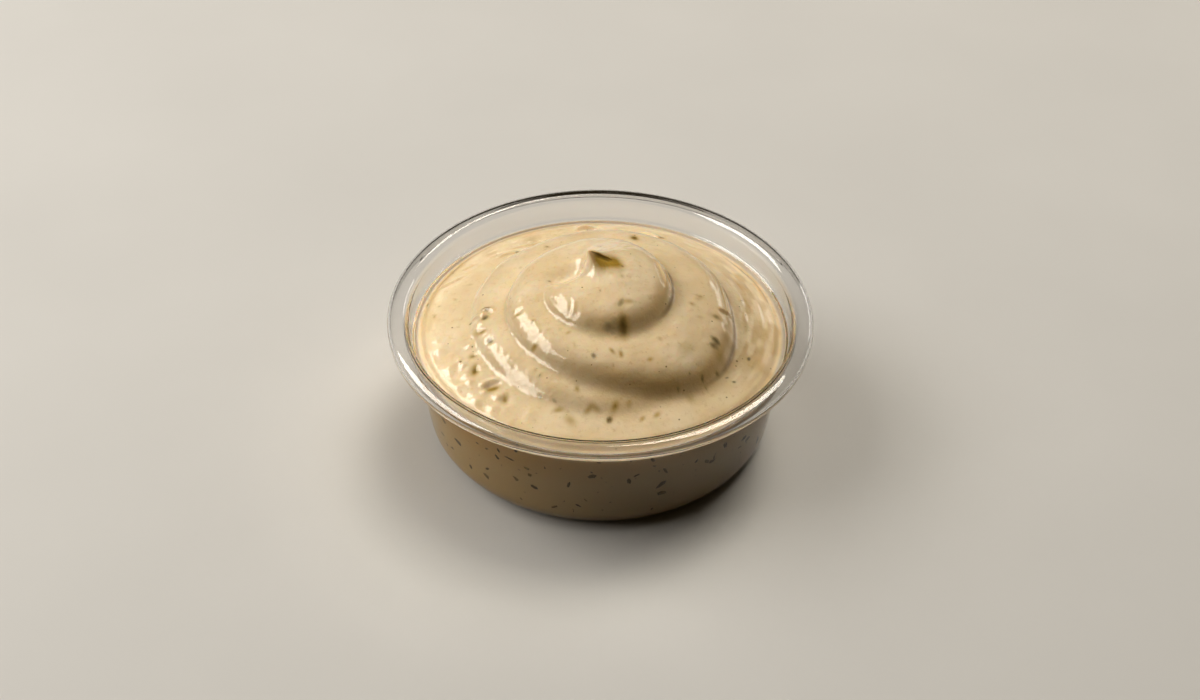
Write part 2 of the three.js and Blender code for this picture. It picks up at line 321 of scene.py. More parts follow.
def turn_of(x, y):
    """Degrees clockwise from the front, from 0 to 360, as seen from above."""
    return np.degrees(np.arctan2(-x, -y)) % 360


def crease_radius(turn):
    """A Catmull-Rom curve through CREASE_RADII, one for each eighth of a turn."""
    last = len(CREASE_RADII) - 1
    place = np.clip((turn - CREASE_START) / 45, 0, last)
    first = np.minimum(place.astype(int), last - 1)
    t = place - first
    before, start, end, after = (CREASE_RADII[np.clip(first + k, 0, last)] for k in (-1, 0, 1, 2))
    bend = 2 * before - 5 * start + 4 * end - after
    return start + 0.5 * t * (end - before + t * (bend + t * (3 * (start - end) + after - before)))


def crease_strength(turn):
    """The sum over CREASE_STRENGTHS of each change times the smoothstep between its two turns."""
    strength = 0 * turn
    for (from_turn, start), (to_turn, end) in zip(CREASE_STRENGTHS, CREASE_STRENGTHS[1:]):
        strength = strength + (end - start) * eased(from_turn, to_turn, turn)
    return strength


def creases_over(x, y):
    """For each pass of the spiral over the points: its turn, and how far inside the crease they lie,
    which is the crease's radius less the point's, times the cosine of the crease's slant."""
    radius = np.hypot(x, y)
    for lap in (-1, 0, 1, 2):
        turn = turn_of(x, y) + 360 * lap
        slope = np.degrees(crease_radius(turn + 1) - crease_radius(turn - 1)) / 2
        yield turn, (crease_radius(turn) - radius) / np.hypot(1, slope / crease_radius(turn))


def crease_step(inside, turn):
    """A roll that climbs inwards as 1 - exp(-s/w) and fades as exp(-s/f), and a groove -d exp(-t/g)
    outside it. s and t are the distances in and out, each k log(1 + exp(d/k)) to round the corner.
    The climb is widest and the corner roundest at SOFTEST_TURN."""
    softness = 0.5 + 0.5 * np.cos(np.radians(turn - SOFTEST_TURN))
    rounding = SHARP_ROUNDING + (SOFT_ROUNDING - SHARP_ROUNDING) * softness ** 2
    inner = rounding * np.logaddexp(0, inside / rounding)
    outer = inner - inside
    climb = np.exp(-inner / (SHARP_WIDTH + (SOFT_WIDTH - SHARP_WIDTH) * softness))
    roll = STEP_RISE * (1 - climb) * np.exp(-inner / STEP_FADE)
    return roll - GROOVE_DEPTH * climb * np.exp(-outer / GROOVE_WIDTH)


def mound(x, y):
    """Edge height + rise (1 - u^p)^q over the distance u from a middle that shifts with the height,
    and a rounded roll of sauce along the wall that is fullest at the front left."""
    radius = np.hypot(x, y)
    shift = np.maximum(0, 1 - (radius / MOUND_REACH) ** 2)
    share = np.hypot(x - MOUND_SHIFT[0] * shift, y - MOUND_SHIFT[1] * shift) / MOUND_REACH
    heap = (1 - np.minimum(share, 1) ** MOUND_POWER) ** MOUND_FLARE
    inwards = np.maximum(0, MOUND_REACH - radius)
    fullness = 1 + EDGE_ROLL_UNEVENNESS * np.cos(np.radians(turn_of(x, y) - FULLEST_ROLL_TURN))
    climb = 1 - np.exp(-inwards / EDGE_ROLL_WIDTH)
    roll = EDGE_ROLL_RISE * fullness * climb * np.exp(-inwards / EDGE_ROLL_FADE)
    return SAUCE_EDGE_HEIGHT + (MOUND_TOP - SAUCE_EDGE_HEIGHT) * heap + roll


def swirl(x, y):
    """The steps of every pass of the crease, faded out at the very middle."""
    height = 0 * x
    for turn, inside in creases_over(x, y):
        height += crease_strength(turn) * crease_step(inside, turn)
    return height * eased(*CREASE_CENTRE_FADE, np.hypot(x, y))


def hollow(x, y):
    """A trough of depth exp(-(d/w)^2) round a short line that runs up to the left of the peak."""
    start, end = np.array(HOLLOW_FROM), np.array(HOLLOW_TO)
    length = np.linalg.norm(end - start)
    way = (end - start) / length
    along = (x - start[0]) * way[0] + (y - start[1]) * way[1]
    nearest = np.clip(along, 0, length)
    across = np.hypot(x - start[0] - nearest * way[0], y - start[1] - nearest * way[1])
    return HOLLOW_DEPTH * np.exp(-(across / HOLLOW_WIDTH) ** 2) * eased(0, HOLLOW_RUN_IN, along)


def peak_share(x, y):
    """exp(-d/w) of the distance d from the peak, stretched along its ridge, which broadens as it runs
    out, and squeezed behind it. A small roundness r, as sqrt(d^2 + r^2) - r for d, blunts the tip."""
    ridge = (math.cos(RIDGE_BEARING), math.sin(RIDGE_BEARING))
    along = (x - PEAK[0]) * ridge[0] + (y - PEAK[1]) * ridge[1]
    across = (y - PEAK[1]) * ridge[0] - (x - PEAK[0]) * ridge[1]
    broad = 1 + RIDGE_BROADENING * eased(0, RIDGE_BROADENS_OVER, along)
    away = np.hypot(along / np.where(along > 0, RIDGE_STRETCH, STEEP_STRETCH), across / broad)
    return np.exp((PEAK_ROUNDNESS - np.hypot(away, PEAK_ROUNDNESS)) / PEAK_WIDTH)


def lattice(x, y, cell, seed):
    """Smooth noise from -1 to 1: random values on a square lattice, blended by smoothstep."""
    values = np.random.default_rng(seed).uniform(-1, 1, (64, 64))
    i, j = np.floor(x / cell).astype(int), np.floor(y / cell).astype(int)
    u, v = eased(0, 1, x / cell - i), eased(0, 1, y / cell - j)
    low = values[i % 64, j % 64] * (1 - u) + values[(i + 1) % 64, j % 64] * u
    high = values[i % 64, (j + 1) % 64] * (1 - u) + values[(i + 1) % 64, (j + 1) % 64] * u
    return low * (1 - v) + high * v


def streaks(x, y, across, seed):
    """Noise that follows the swirl: a lattice of 64 long cells round the axis, and short ones outwards."""
    return lattice(turn_of(x, y) / 360 * 64, np.hypot(x, y) / across, 1, seed)


# Folds that the spoon left: a bowed line from one place to another, with a ridge along it and a
# groove on its right. Each has its bow to the left, its ridge's height and its width.
FOLDS = [
    ((-29.6, 8.8), (-24, 12.8), 0.2, 0.2, 0.45),
    ((-25.6, 14.2), (-22.6, 16.2), 0.2, 0.14, 0.4),
    ((-16.9, 20.4), (-10.8, 22), 0.4, 0.2, 0.45),
    ((-18.9, 16.8), (-14.4, 18.6), 1.0, 0.24, 0.45),
    ((6.8, 26.8), (11.4, 23.8), 0.3, 0.4, 0.5),
    ((-3.5, 25.4), (5, 25.6), 0.6, 0.55, 0.6),
    ((-5.5, 27.4), (-1.2, 28.4), 0.2, 0.4, 0.6),
    ((9.4, 3.4), (11.2, -3.6), 0.3, 0.38, 0.34),
    ((10.3, 2.6), (12.2, -2.2), 0.3, 0.34, 0.32),
    ((19.6, -3.4), (23.1, -1.8), -0.3, 0.4, 0.35),
    ((-5.2, -6.6), (-5.4, -10.9), 0.9, 0.1, 0.4),
    ((-12.3, -8.6), (-10.2, -13.2), 0.5, 0.1, 0.45),
    ((-20.3, -18.9), (-16.4, -17.4), 0.5, 0.45, 0.5),
    ((-21, -1.6), (-18, -3), 0.5, 0.4, 0.45),
    ((-22.8, -2.6), (-20.4, -3.1), 0.2, 0.3, 0.35),
    ((-0.9, 0.5), (2.3, -0.2), 0.15, 0.3, 0.35),
]

# Lumps, and pits with a height below 0, as (x, y, height, width).
LUMPS = [
    (-24, -11.8, 0.35, 0.7), (-23.1, -13.1, 0.35, 0.6), (-22.5, -15.5, 0.45, 0.8),
    (-21.8, -17.1, 0.4, 0.7), (-19.2, -19.6, 0.3, 0.6), (-16.9, -21.1, 0.35, 0.7),
    (-22.2, -8.7, 0.3, 0.7), (-21.6, -6, 0.3, 0.7), (-20.3, -2.6, 0.4, 0.7), (-20.8, -5, 0.25, 0.6),
    (-27.4, -8.2, 0.3, 1.1), (-25.3, -13, 0.35, 1.1), (-28.2, -6, 0.2, 0.8), (-23.6, -17.6, 0.3, 1),
    (-20.5, -21.3, 0.3, 0.9), (-17.6, -23.4, 0.25, 0.9), (-21.5, -11.4, -0.2, 0.6),
    (-21.1, -14.7, -0.35, 0.8), (-18.4, -19.1, -0.22, 0.6), (-17.4, -19, -0.2, 0.6),
    (-15.6, -21.7, -0.3, 0.8), (-18.6, -10, -0.2, 0.7), (-20.3, -7.1, -0.12, 0.5),
    (-19.8, -3.9, -0.2, 0.5), (-0.9, 28, -0.4, 0.7), (-3.4, 28.4, 0.5, 1.2), (2.6, 28.3, 0.35, 1.5),
    (-9, 27.2, 0.2, 1.5), (21.4, -8.2, 0.3, 1.3), (-10.6, -12.9, -0.2, 0.7), (-13.8, -6.4, -0.2, 0.6),
    (2.9, -12.5, 0.35, 0.9), (-10.9, -9.8, 0.12, 0.5), (-8.9, -12, 0.12, 0.6), (-5.6, -15.6, 0.12, 0.6),
]
LOOSE_LUMP_COUNT, LOOSE_LUMP_TURNS, LOOSE_LUMP_RADII = 16, (20, 80), (24, 30)
LOOSE_LUMP_HEIGHTS, LOOSE_LUMP_WIDTHS = (-0.12, 0.22), (0.6, 1.5)

# Where the roll dragged its skin into fine ridges: the turns, and how far inside the crease.
WRINKLE_PLACES = [((236, 292), (-0.3, 2.2)), ((590, 634), (-0.1, 1.3))]
WRINKLE_PITCH, WRINKLE_HEIGHT = 0.6, 0.17
BEAD_PLACES = [(396, 470), (736, 792)]
BEAD_RISE, BEAD_INSIDE, BEAD_WIDTH = 0.16, 0.45, 0.3

# The unevenness of the whole top, as a height and a cell size for each kind. The ripples lie along
# the wall on the right, and the dragged skin lies at the front left.
SWELL, DIMPLES, STREAKS, GRAIN = (0.16, 6.5), (0.07, 2.7), (0.03, 0.9), (0.018, 0.8)
RIPPLES, RIPPLE_TURNS, RIPPLES_FROM = (0.1, 0.6), (200, 250, 290, 330), (22, 25)
DRAGGED_SKIN, DRAGGED_TURNS = (0.045, 0.65), (10, 40, 95, 130)
RELIEF_FADES_OVER = (30.5, 32)


def folds(x, y):
    """For each fold a ridge h exp(-(a/w)^2) and a groove beside it, faded at both ends."""
    height = 0 * x
    for start, end, bow, rise, width in FOLDS:
        start, end = np.array(start), np.array(end)
        length = np.linalg.norm(end - start)
        way = (end - start) / length
        along = ((x - start[0]) * way[0] + (y - start[1]) * way[1]) / length
        bowed = bow * (1 - (2 * along - 1) ** 2)
        across = (y - start[1]) * way[0] - (x - start[0]) * way[1] - bowed
        ridge = np.exp(-(across / width) ** 2) - 0.8 * np.exp(-((across + 1.3 * width) / width) ** 2)
        height += rise * ridge * between(0, 0.3, 0.7, 1, along)
    return height


def lumps(x, y):
    """Each lump is h exp(-(d/w)^2). Loose ones are scattered along the wall at the front left."""
    random = np.random.default_rng(11)
    turns = np.radians(random.uniform(*LOOSE_LUMP_TURNS, LOOSE_LUMP_COUNT))
    radii = random.uniform(*LOOSE_LUMP_RADII, LOOSE_LUMP_COUNT)
    heights = random.uniform(*LOOSE_LUMP_HEIGHTS, LOOSE_LUMP_COUNT)
    widths = random.uniform(*LOOSE_LUMP_WIDTHS, LOOSE_LUMP_COUNT)
    loose = np.stack([-radii * np.sin(turns), -radii * np.cos(turns), heights, widths], axis=1)
    total = 0 * x
    for lump_x, lump_y, height, width in np.concatenate([LUMPS, loose]):
        total += height * np.exp(-(np.hypot(x - lump_x, y - lump_y) / width) ** 2)
    return total


def wrinkles(x, y):
    """Fine ridges that run with the crease and draw together at both ends, and the narrow bead at
    the foot of the roll, r exp(-((s - a)/w)^2)."""
    height = 0 * x
    for turn, inside in creases_over(x, y):
        for (first, last), (outer, inner) in WRINKLE_PLACES:
            along = np.clip((turn - first) / (last - first), 0, 1)
            near = np.sin(np.pi * along) ** 0.7
            band = between(outer, outer + 0.4, inner - 0.5, inner, inside)
            pitch = WRINKLE_PITCH * (0.45 + 0.55 * near)
            phase = inside / pitch + 0.5 * lattice(turn / 16, inside / 2, 1, 5)
            height += WRINKLE_HEIGHT * near * band * np.sin(2 * np.pi * phase)
        for first, last in BEAD_PLACES:
            near = between(first, first + 12, last - 12, last, turn)
            height += BEAD_RISE * near * np.exp(-((inside - BEAD_INSIDE) / BEAD_WIDTH) ** 2)
    return height


def relief(x, y):
    """Everything finer than the swirl itself, faded out against the wall."""
    radius, turn = np.hypot(x, y), turn_of(x, y)
    broad = SWELL[0] * lattice(x, y, SWELL[1], 1) + DIMPLES[0] * lattice(x, y, DIMPLES[1], 2)
    fine = STREAKS[0] * streaks(x, y, STREAKS[1], 3) + GRAIN[0] * lattice(x, y, GRAIN[1], 4)
    right = between(*RIPPLE_TURNS, turn) * eased(*RIPPLES_FROM, radius)
    ripples = RIPPLES[0] * streaks(x, y, RIPPLES[1], 6) * right
    dragged = between(*DRAGGED_TURNS, turn)
    fine = fine + DRAGGED_SKIN[0] * dragged * lattice(x, y, DRAGGED_SKIN[1], 9)
    fade = 1 - eased(*RELIEF_FADES_OVER, radius)
    return fade * (broad + fine + ripples + folds(x, y) + lumps(x, y) + wrinkles(x, y))


def sauce_height(x, y):
    """The height of the sauce's top, with all its relief, over a place in plan."""
    inwards = np.maximum(0, wall(np.array([SAUCE_EDGE_HEIGHT]), SHEET)[0, 0] - np.hypot(x, y))
    meniscus = MENISCUS_RISE * np.exp(-(inwards / MENISCUS_WIDTH) ** 2)
    groove = EDGE_GROOVE_DEPTH * np.exp(-((inwards - EDGE_GROOVE_INWARDS) / EDGE_GROOVE_WIDTH) ** 2)
    base = mound(x, y) + swirl(x, y) - hollow(x, y) + PEAK_RISE * peak_share(x, y)
    return base + relief(x, y) + meniscus - groove


side_profile = np.concatenate([
    [[0.01, SHEET - INTO_WALL]],
    base_corner(SHEET - INTO_WALL),
    wall(np.linspace(7, SAUCE_EDGE_HEIGHT - 0.2, 6), SHEET - INTO_WALL),
])
inner_radius = wall(np.array([SAUCE_EDGE_HEIGHT]), SHEET - INTO_WALL)[0, 0]
top_shares = np.linspace(0, 1, SAUCE_ROWS + 1)[:-1]
top_profile = np.stack([inner_radius * (1 - top_shares) ** SAUCE_ROW_POWER, 0 * top_shares], axis=1)
side_rings = turned_rings(side_profile, SAUCE_COLUMNS)
top_rings = turned_rings(top_profile, SAUCE_COLUMNS)
top_rings[..., :2] += np.array(PEAK) * (top_shares ** 2)[:, None, None]
plan_x, plan_y = top_rings[..., 0].copy(), top_rings[..., 1].copy()
top_rings[..., 2] = sauce_height(plan_x, plan_y)
top_rings[..., :2] += np.array(PEAK_LEAN) * (peak_share(plan_x, plan_y) ** 2)[..., None]
plan_radius = np.maximum(np.hypot(plan_x, plan_y), 1)
for turn, inside in creases_over(plan_x, plan_y):
    sharpness = 0.5 - 0.5 * np.cos(np.radians(turn - SOFTEST_TURN))
    band = np.exp(-((inside - OVERHANG_INSIDE) / OVERHANG_WIDTH) ** 2)
    push = OVERHANG * sharpness * crease_strength(turn) * band
    top_rings[..., 0] += push * plan_x / plan_radius
    top_rings[..., 1] += push * plan_y / plan_radius
sauce = closed_skin("swirled_sauce", np.concatenate([side_rings, top_rings]))

# Bits of jalapeno near enough the surface to show, as (x, y, half length, how dark, how golden). The
# darkest are also chips, and the others only stains. Their places, and those of the folds and lumps,
# were picked by eye in the photograph and turned into millimetres outside this script.
BITS = np.array([
    (1.8, -12.7, 1.5, 0.68, 0.1), (3.9, -12.3, 1.2, 0.7, 0.8), (2.9, -11.4, 1.2, 0.35, 0),
    (3.3, -8.9, 1, 0.7, 0.3), (4.8, -8.5, 0.6, 0.35, 0.5), (0.1, -0.5, 1.1, 0, 0.8),
    (1.4, -0.7, 1.3, 0, 0.85), (2.7, -0.4, 1.2, 0, 0.65), (19.5, -10.6, 0.9, 0.95, 0.3),
    (19.2, -11.9, 0.8, 0.8, 0.3), (19.8, -5.6, 0.9, 0.7, 0.5), (22.2, -9.4, 1.1, 0.3, 0.4),
    (20.6, -13.4, 0.9, 0.25, 0.5), (5.9, 17, 0.8, 0.8, 1), (11, 24.5, 0.7, 0.7, 0.4),
    (8.4, 8.2, 0.5, 0.7, 0.8), (-9.8, 16.1, 0.5, 0.8, 0.6), (-15.3, 18.9, 0.6, 0.8, 0.2),
    (-14.4, 18.9, 0.5, 0.7, 0.2), (-20.1, -1.7, 0.7, 0.7, 0.2), (-19.3, -1.9, 0.6, 0.5, 0.2),
    (-19.8, -4, 0.7, 0.9, 0.5), (-20.3, -7.1, 0.6, 0.5, 1), (-18.6, -10, 0.7, 0.95, 0.3),
    (-22.4, -3.1, 0.4, 0.7, 0.2), (-21.5, -11.4, 0.6, 0.7, 0.7), (-21, -14.7, 0.9, 0.7, 1),
    (-18.4, -19.2, 0.6, 0.5, 0.8), (-17.3, -19, 0.6, 0.5, 0.8), (-15.6, -21.6, 0.7, 0.5, 0.8),
    (-30.6, 5.7, 0.5, 0.9, 0.4), (-28.4, 3.7, 0.4, 0.5, 0.3), (-29.1, 1, 0.4, 0.4, 0.5),
    (-14, -7, 0.4, 0.6, 0.7), (-11.4, -9.8, 0.45, 0.7, 0.5), (-10.8, -14, 0.6, 0.4, 1),
    (-9.9, -18.9, 0.45, 0.7, 0.4), (-3.7, -21.7, 0.45, 0.6, 0.7), (-1.1, -17.7, 0.6, 0.85, 0.2),
    (-9.8, -22.1, 0.4, 0.8, 0.3), (-7.4, -23.2, 0.6, 0.65, 0.3), (1.7, -26.5, 0.7, 0.95, 0.5),
    (2.6, -24.4, 0.6, 0.5, 0.9), (25.4, -10, 0.45, 1, 0.2), (19.7, -15.8, 0.45, 0.7, 0.5),
    (17.1, -18, 0.5, 0.8, 0.3), (22.6, -16, 0.4, 0.9, 0.1), (13, -20.7, 0.4, 0.7, 0.3),
    (21.4, -15.4, 0.4, 0.8, 0.2), (17.1, -1.6, 0.5, 0.5, 0.4), (15.6, -4.1, 0.45, 0.4, 0.5),
    (24.9, 5, 0.5, 0.6, 0.3), (-8.9, 0.4, 0.35, 0.6, 0.3), (3.7, -1.2, 0.35, 0.7, 0.2),
    (3.6, -3.5, 0.35, 0.5, 0.3), (-0.1, -6.3, 0.35, 0.5, 0.2), (8.3, -17.7, 0.4, 0.4, 0.7),
    (2, -16.8, 0.45, 0.4, 0.8), (-1.8, -24.9, 0.7, 0.15, 0.7), (-0.5, -24.8, 0.6, 0.15, 0.6),
    (4.9, -23.8, 0.5, 0.3, 0.5), (-6.7, -24.7, 0.7, 0.15, 0.7), (-4.7, -26.7, 0.8, 0.05, 0.6),
    (3.5, -17.3, 0.5, 0.4, 0.8), (-4.1, -15.9, 0.4, 0.4, 0.2), (-4.3, -15.3, 0.35, 0.4, 0.2),
    (2.2, -19.3, 0.3, 0.5, 0.3), (17.8, -18.8, 0.35, 0.6, 0.4), (14.9, -18.4, 0.3, 0.6, 0.2),
    (9.5, -25.1, 0.5, 0.1, 0.7), (7.1, -26, 0.45, 0.15, 0.7), (15.1, -21.3, 0.7, 0, 0.4),
    (-10.7, -17.8, 0.3, 0.4, 0.3), (10, -13.3, 0.4, 0.3, 0.4), (16.9, -6.8, 0.5, 0.3, 0.3),
    (16.7, -2.5, 0.5, 0.35, 0.3), (-6.7, -12.1, 0.35, 0.3, 0.3), (8.3, -7, 0.3, 0.4, 0.3),
    (-14.3, 9.6, 0.3, 0.4, 0.4), (-10.1, 15, 0.3, 0.35, 0.4), (6.7, -0.4, 0.3, 0.6, 0.3),
    (-25.7, 4.9, 0.4, 0.4, 0.4), (-23.3, 8.9, 0.4, 0.3, 0.4), (-5.3, -12.9, 0.4, 0.3, 0.5),
    (14.4, -14.2, 1.2, 0, 0.4), (-13, 23.4, 1.5, 0, 0.4), (-20, 19.4, 1.5, 0, 0.4)])
STAIN_SPREAD, GOLDEN_SPREAD, STAIN_NARROWNESS = 1.15, 1.5, (0.45, 0.8)


def near_bits(x, y, spread, amounts):
    """The sum over the bits of their amounts times exp(-(d/(spread size))^2). d counts a distance
    across a bit for more than one along it, so each stain is long, and each bit lies its own way."""
    random = np.random.default_rng(29)
    total = 0 * x
    for (bit_x, bit_y, size, _, _), amount in zip(BITS, amounts):
        lie = random.uniform(0, np.pi)
        along = (x - bit_x) * math.cos(lie) + (y - bit_y) * math.sin(lie)
        across = (y - bit_y) * math.cos(lie) - (x - bit_x) * math.sin(lie)
        distance = np.hypot(along, across / random.uniform(*STAIN_NARROWNESS))
        total += amount * np.exp(-(distance / (spread * size)) ** 2)
    return total


# The slit that the pulled-up tip left along its ridge, drawn as a line of painted shade.
SLIT_FROM, SLIT_TO, SLIT_WIDTH, SLIT_DARKNESS = (-0.9, 0.4), (2, -0.1), 0.17, 0.85


def spread_on(piece, name, values):
    """Keeps one number for each vertex of the piece, for its material to read."""
    attribute = piece.data.attributes.new(name, "FLOAT", "POINT")
    attribute.data.foreach_set("value", values.astype(np.float32).ravel())


def with_ends(side_value, top_values):
    """A value for every vertex of the sauce: one for the side's rings, then the top's, then the two ends."""
    side_values = np.full(side_rings.shape[:2], side_value)
    return np.concatenate([side_values.ravel(), top_values.ravel(), [side_value, top_values[-1, 0]]])


# Painted shade: the overhanging front face of each roll is tinted yellow brown, most at SHADE_TURN.
SHADE_TURN, SHADE_DEPTH, SHADE_INSIDE, SHADE_WIDTH = 325, 0.75, 1, 1.5
# Painted shade too: a strip along the wall, most at the back left, and streaks over the rippled skin on the
# right.
STRIP_FROM_WALL, STRIP_WIDTH, STRIP_TURNS = 1.7, 0.8, (70, 120, 165, 200)
RIPPLE_SHADE, RIPPLE_SHADE_TURNS, RIPPLE_SHADE_FROM = 0.5, (215, 250, 285, 310), (23.5, 26)
# Painted shade: the side turns from cream to golden brown below the edge, and to a duller brown lower down,
# over this depth. A film of whey greys the edge itself.
SIDE_SHADE_DEPTH, SIDE_SHADE_POWER = 9, 0.6
FILM_FADES_OVER = (0.45, 1.1)
# Painted shade: a dark line lies in the crease where the roll above hangs closest over it.
LINE_TURN, LINE_OUTSIDE, LINE_WIDTH = 232, 0.8, 0.38
wall_gap = inner_radius - np.hypot(plan_x, plan_y)
plan_turn = turn_of(plan_x, plan_y)
painted_crease_shade = 0 * plan_x
for turn, inside in creases_over(plan_x, plan_y):
    dark = eased(0.45, 0.8, 0.5 + 0.5 * np.cos(np.radians(turn - LINE_TURN)))
    outside = LINE_OUTSIDE * np.maximum(0, -np.cos(np.radians(turn)))
    painted_crease_shade += dark * crease_strength(turn) * np.exp(-((inside + outside) / LINE_WIDTH) ** 2)
back_left = between(*STRIP_TURNS, plan_turn)
ochre_shade_amount = np.exp(-((wall_gap - STRIP_FROM_WALL) / STRIP_WIDTH) ** 2) * (0.3 + 0.7 * back_left)
# Painted shade on the outer face of each roll: fullest round SHADE_TURN, fainter round LINE_TURN.
for turn, inside in creases_over(plan_x, plan_y):
    front = (0.5 + 0.5 * np.cos(np.radians(turn - SHADE_TURN))) ** 2
    back = 0.6 * eased(0.5, 0.9, 0.5 + 0.5 * np.cos(np.radians(turn - LINE_TURN)))
    band = np.exp(-((inside - SHADE_INSIDE) / SHADE_WIDTH) ** 2)
    ochre_shade_amount += SHADE_DEPTH * np.maximum(front, back) * crease_strength(turn) * band
right_side = between(*RIPPLE_SHADE_TURNS, plan_turn) * eased(*RIPPLE_SHADE_FROM, plan_radius)
ochre_shade_amount += RIPPLE_SHADE * right_side * eased(-0.2, 0.6, streaks(plan_x, plan_y, 0.9, 8))
slit_share = np.clip((plan_x - SLIT_FROM[0]) / (SLIT_TO[0] - SLIT_FROM[0]), 0, 1)
slit_x, slit_y = (start + (end - start) * slit_share for start, end in zip(SLIT_FROM, SLIT_TO))
slit = SLIT_DARKNESS * np.exp(-(np.hypot(plan_x - slit_x, plan_y - slit_y) / SLIT_WIDTH) ** 2)
# The bits' real stains and the slit's painted shade share one mask.
stain_and_slit_shade = near_bits(plan_x, plan_y, STAIN_SPREAD, BITS[:, 3]) + slit
golden = near_bits(plan_x, plan_y, GOLDEN_SPREAD, BITS[:, 4])
spread_on(sauce, "stain_and_slit_shade", with_ends(0.0, np.clip(stain_and_slit_shade, 0, 1)))
spread_on(sauce, "golden", with_ends(0.0, np.clip(golden, 0, 1)))
spread_on(sauce, "film", with_ends(0.0, 1 - eased(*FILM_FADES_OVER, wall_gap)))
spread_on(sauce, "painted_shade", with_ends(0.0, np.clip(ochre_shade_amount, 0, 1)))
side_shade_share = np.clip((SAUCE_EDGE_HEIGHT - side_rings[..., 2]) / SIDE_SHADE_DEPTH, 0, 1) ** SIDE_SHADE_POWER
spread_on(sauce, "side_shade", np.concatenate([side_shade_share.ravel(), 0 * plan_x.ravel(), [1, 0]]))
spread_on(sauce, "crease", with_ends(0.0, np.clip(painted_crease_shade, 0, 1)))


def yogurt_sauce():
    """Pale warm yogurt: light scatters under the surface, and the moist skin has a soft gloss.
    Bits leave soft stained patches, tiny specks lie all through it, and whey greys its edge.
    Painted shade: yellow brown on roll faces and along the wall, dark lines in the creases and
    along the slit, and golden brown on the side."""
    n = Nodes("yogurt_sauce")
    cream, pale, mottle_and_shade_ochre = (0.80, 0.65, 0.43), (0.86, 0.725, 0.52), (0.48, 0.30, 0.075)
    speck_brown, pepper_gold, crease_shade_brown = (0.24, 0.15, 0.05), (0.40, 0.25, 0.015), (0.19, 0.11, 0.035)
    olive, golden_olive = (0.16, 0.13, 0.065), (0.16, 0.10, 0.015)
    whey, side_shade_amber, side_shade_low_amber = (0.52, 0.47, 0.40), (0.46, 0.27, 0.035), (0.50, 0.345, 0.125)
    colour = n.mixed(n.ranged(n.noise(0.16, detail=4), 0.38, 0.66, 0, 1), cream, pale)
    colour = n.mixed(n.ranged(n.noise(1.1, detail=5, roughness=0.65), 0.56, 0.78, 0, 0.36), colour, mottle_and_shade_ochre)
    # Painted shade: yellow brown on roll faces, along the wall and over the right ripples.
    colour = n.mixed(n.ranged(n.attribute("painted_shade"), 0, 1, 0, 0.8), colour, mottle_and_shade_ochre)
    colour = n.mixed(n.specks(1.1, 0.80, 0.10, 0.22), colour, speck_brown)
    golden = n.ranged(n.attribute("golden"), 0.05, 1, 0, 0.9)
    colour = n.mixed(golden, colour, pepper_gold)
    # Olive for the bits' stains, and for the painted shade along the slit.
    ragged = n.add("ShaderNodeMath", operation="MULTIPLY_ADD")
    n.join(n.noise(0.9, detail=3), ragged.inputs[0])
    ragged.inputs[1].default_value = 0.6
    n.join(n.attribute("stain_and_slit_shade"), ragged.inputs[2])
    stain_and_slit_shade_colour = n.mixed(golden, olive, golden_olive)
    colour = n.mixed(n.ranged(ragged.outputs[0], 0.62, 1.2, 0, 0.84), colour, stain_and_slit_shade_colour)
    # Painted shade: dark brown lines in the creases.
    colour = n.mixed(n.ranged(n.attribute("crease"), 0.15, 0.9, 0, 0.75), colour, crease_shade_brown)
    colour = n.mixed(n.ranged(n.attribute("film"), 0, 1, 0, 0.85), colour, whey)
    # Painted shade on the side: golden brown below the edge, duller brown lower down.
    colour = n.mixed(n.ranged(n.attribute("side_shade"), 0.1, 0.35, 0, 0.95), colour, side_shade_amber)
    colour = n.mixed(n.ranged(n.attribute("side_shade"), 0.5, 0.95, 0, 1), colour, side_shade_low_amber)
    n.join(colour, n.shader.inputs["Base Color"])
    n.join(n.ranged(n.noise(0.5, detail=4), 0.35, 0.65, 0.28, 0.42), n.shader.inputs["Roughness"])
    n.shader.inputs["Subsurface Weight"].default_value = 0.4
    n.shader.inputs["Subsurface Radius"].default_value = (1.0, 0.5, 0.2)
    n.shader.inputs["Subsurface Scale"].default_value = 1.4 * MM
    n.shader.inputs["Coat Weight"].default_value = 0.8
    n.shader.inputs["Coat Roughness"].default_value = 0.09
    grain = n.bump(n.noise(1.9, detail=4, roughness=0.65), 0.045)
    n.join(n.bump(n.noise(0.7, detail=3), 0.07, under=grain), n.shader.inputs["Normal"])
    return n.material


sauce.data.materials.append(yogurt_sauce())
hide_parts("sauce")
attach(sauce, "root")


# ---------------------------------------------------------------------------------------------------
# The bits of jalapeno. Chopped flesh and skin, wet and olive green, nearly sunk in the top of the
# sauce and smeared with it. Each is a lumpy rounded chip that lies along the surface.
# ---------------------------------------------------------------------------------------------------
CHIP_NARROWNESS, CHIP_FLATNESS, CHIP_SINK, CHIP_SHARE = 0.6, 0.4, 0.25, 0.6
CHIP_ROWS, CHIP_COLUMNS, CHIP_LUMPINESS = 7, 12, 0.16
CHIP_LEAST_DARKNESS, CHIP_LEAST_SIZE = 0.74, 0.3


def surface_axes(x, y, turns):
    """Unit vectors along, across and out of the sauce at each place, with along turned by turns."""
    step = 0.05
    rise_x = (sauce_height(x + step, y) - sauce_height(x - step, y)) / (2 * step)
    rise_y = (sauce_height(x, y + step) - sauce_height(x, y - step)) / (2 * step)
    out = np.stack([-rise_x, -rise_y, np.ones_like(x)], axis=-1)
    out /= np.linalg.norm(out, axis=-1, keepdims=True)
    along = np.stack([np.cos(turns), np.sin(turns), np.zeros_like(x)], axis=-1)
    along -= out * (along * out).sum(axis=-1, keepdims=True)
    along /= np.linalg.norm(along, axis=-1, keepdims=True)
    return np.stack([along, np.cross(out, along), out], axis=-2)


